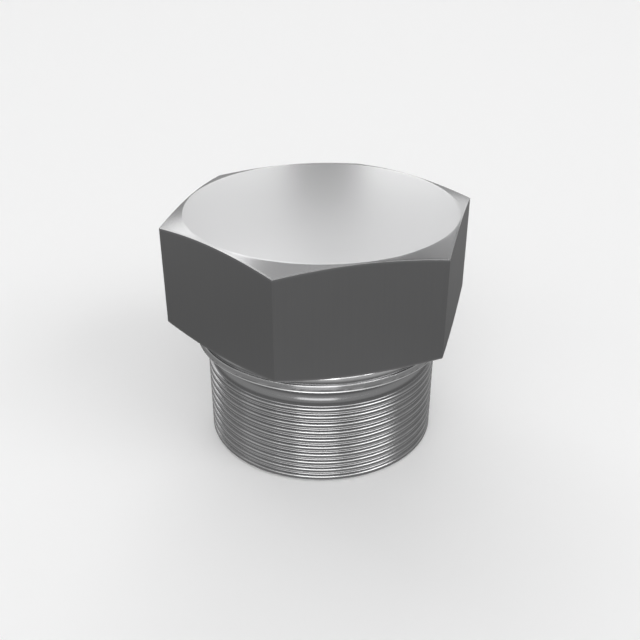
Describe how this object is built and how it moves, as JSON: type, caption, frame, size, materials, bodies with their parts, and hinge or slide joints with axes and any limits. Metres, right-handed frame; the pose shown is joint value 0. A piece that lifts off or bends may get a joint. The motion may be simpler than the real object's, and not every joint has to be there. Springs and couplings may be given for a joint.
{
  "type": "hexagon head screw plug",
  "caption": "One-piece steel screw plug: chamfered hexagon head, turned neck with a sealing lip, thread relief and a fine external thread that closes a tapped port.",
  "frame": {"origin": "centre of the flat end face of the threaded shank, on the thread axis", "axes": "+Z along the thread axis from the end face to the head, +X towards a corner of the hexagon, +Y towards the middle of a flat"},
  "size_m": [0.0532, 0.046, 0.0411],
  "materials": {
    "turned_steel": "bright turned steel with drawn flats, satin, unplated"
  },
  "bodies": {
    "root": {"plug_body": "turned_steel"}
  },
  "joints": []
}
